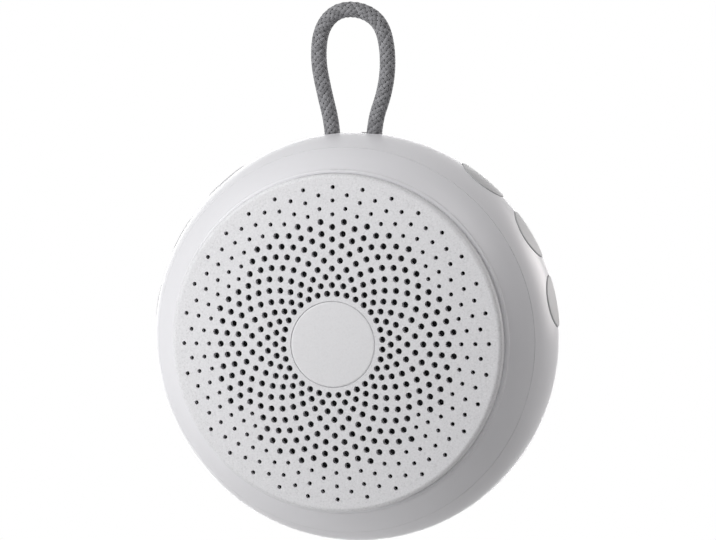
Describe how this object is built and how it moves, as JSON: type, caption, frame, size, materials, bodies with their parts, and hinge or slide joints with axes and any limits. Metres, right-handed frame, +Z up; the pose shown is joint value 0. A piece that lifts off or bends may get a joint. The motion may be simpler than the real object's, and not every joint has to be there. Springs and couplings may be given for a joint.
{
  "type": "white noise sound machine",
  "caption": "Palm-sized round sound machine with a domed perforated speaker face, push buttons on its rim and a rope loop to hang it by.",
  "frame": {"origin": "hang point: inside the top of the rope loop, on the body's mid-plane and its middle plane", "axes": "+Z up along the loop, -Y out of the speaker grille, +X to the right seen from the front"},
  "size_m": [0.0922, 0.0437, 0.1217],
  "materials": {
    "shell": "satin white",
    "grille": "fine stipple",
    "badge": "smooth satin",
    "cloth": "black acoustic cloth",
    "button": "smooth matte",
    "rope": "braided",
    "foot": "soft matte",
    "foam_gasket": "soft foam",
    "basket": "black paint",
    "surround": "smooth rubber",
    "cone": "pressed paper",
    "coil_former": "amber film",
    "copper": "enamelled copper wire",
    "spider": "resin cloth",
    "plate_steel": "zinc plated",
    "ferrite": "ferrite",
    "terminal": "laminate",
    "board": "solder mask",
    "chip": "moulded",
    "small_part": "ceramic",
    "ferrite_coil": "ferrite",
    "can": "bright can",
    "switch": "moulded",
    "plunger": "moulded",
    "socket_steel": "plated",
    "socket_tongue": "moulded",
    "light": "clear resin",
    "light_pipe": "clear plastic",
    "cell_wrap": "laminated foil",
    "foam": "foam",
    "plug": "moulded",
    "lead": "insulated wire",
    "crimp": "crimped sleeve",
    "screw": "plated"
  },
  "bodies": {
    "machine": {"amplifier_chip": "chip", "back_foot": "foot", "badge_disc": "badge", "battery_cell": "cell_wrap", "battery_foam": "foam", "battery_leads": "lead", "battery_plug": "plug", "board_screws": "screw", "case_screws": "screw", "charge_chip": "chip", "charge_coil": "ferrite_coil", "dust_cloth": "cloth", "front_shell": "shell", "grille_plate": "grille", "light_pipe": "light_pipe", "main_board": "board", "rear_shell": "shell", "rope_loop": "rope", "rope_stops": "crimp", "small_parts": "small_part", "smoothing_capacitors": "can", "sound_chip": "chip", "speaker_basket": "basket", "speaker_gasket": "foam_gasket", "speaker_leads": "lead", "speaker_magnet": "ferrite", "speaker_plug": "plug", "speaker_screws": "screw", "speaker_spider": "spider", "speaker_surround": "surround", "speaker_terminals": "terminal", "speaker_top_plate": "plate_steel", "speaker_yoke": "plate_steel", "status_light": "light", "switch_bodies": "switch", "usb_socket": "socket_steel", "usb_tongue": "socket_tongue"},
    "speaker_drive": {"speaker_cone": "cone", "speaker_dust_cap": "cone", "voice_coil_former": "coil_former", "voice_coil_winding": "copper"},
    "power_key": {"power_button": "button", "power_plunger": "plunger"},
    "volume_up_key": {"volume_up_button": "button", "volume_up_plunger": "plunger"},
    "volume_down_key": {"volume_down_button": "button", "volume_down_plunger": "plunger"},
    "play_key": {"play_button": "button", "play_plunger": "plunger"},
    "next_sound_key": {"next_sound_button": "button", "next_sound_plunger": "plunger"},
    "timer_key": {"timer_button": "button", "timer_plunger": "plunger"}
  },
  "joints": [
    {"name": "power_press", "type": "slide", "parent": "machine", "child": "power_key", "axis": [-0.6428, 0, -0.766], "range_m": [0, 0.0006], "stiffness_N_per_m": 2000},
    {"name": "volume_up_press", "type": "slide", "parent": "machine", "child": "volume_up_key", "axis": [-0.866, 0, -0.5], "range_m": [0, 0.0006], "stiffness_N_per_m": 2000},
    {"name": "volume_down_press", "type": "slide", "parent": "machine", "child": "volume_down_key", "axis": [-0.9848, 0, -0.1736], "range_m": [0, 0.0006], "stiffness_N_per_m": 2000},
    {"name": "play_press", "type": "slide", "parent": "machine", "child": "play_key", "axis": [0.6428, 0, -0.766], "range_m": [0, 0.0006], "stiffness_N_per_m": 2000},
    {"name": "next_sound_press", "type": "slide", "parent": "machine", "child": "next_sound_key", "axis": [0.866, 0, -0.5], "range_m": [0, 0.0006], "stiffness_N_per_m": 2000},
    {"name": "timer_press", "type": "slide", "parent": "machine", "child": "timer_key", "axis": [0.9848, 0, -0.1736], "range_m": [0, 0.0006], "stiffness_N_per_m": 2000},
    {"name": "cone_stroke", "type": "slide", "parent": "machine", "child": "speaker_drive", "axis": [0, 1, 0], "range_m": [-0.001, 0.001], "stiffness_N_per_m": 700, "deforming": ["speaker_surround", "speaker_spider"]}
  ]
}
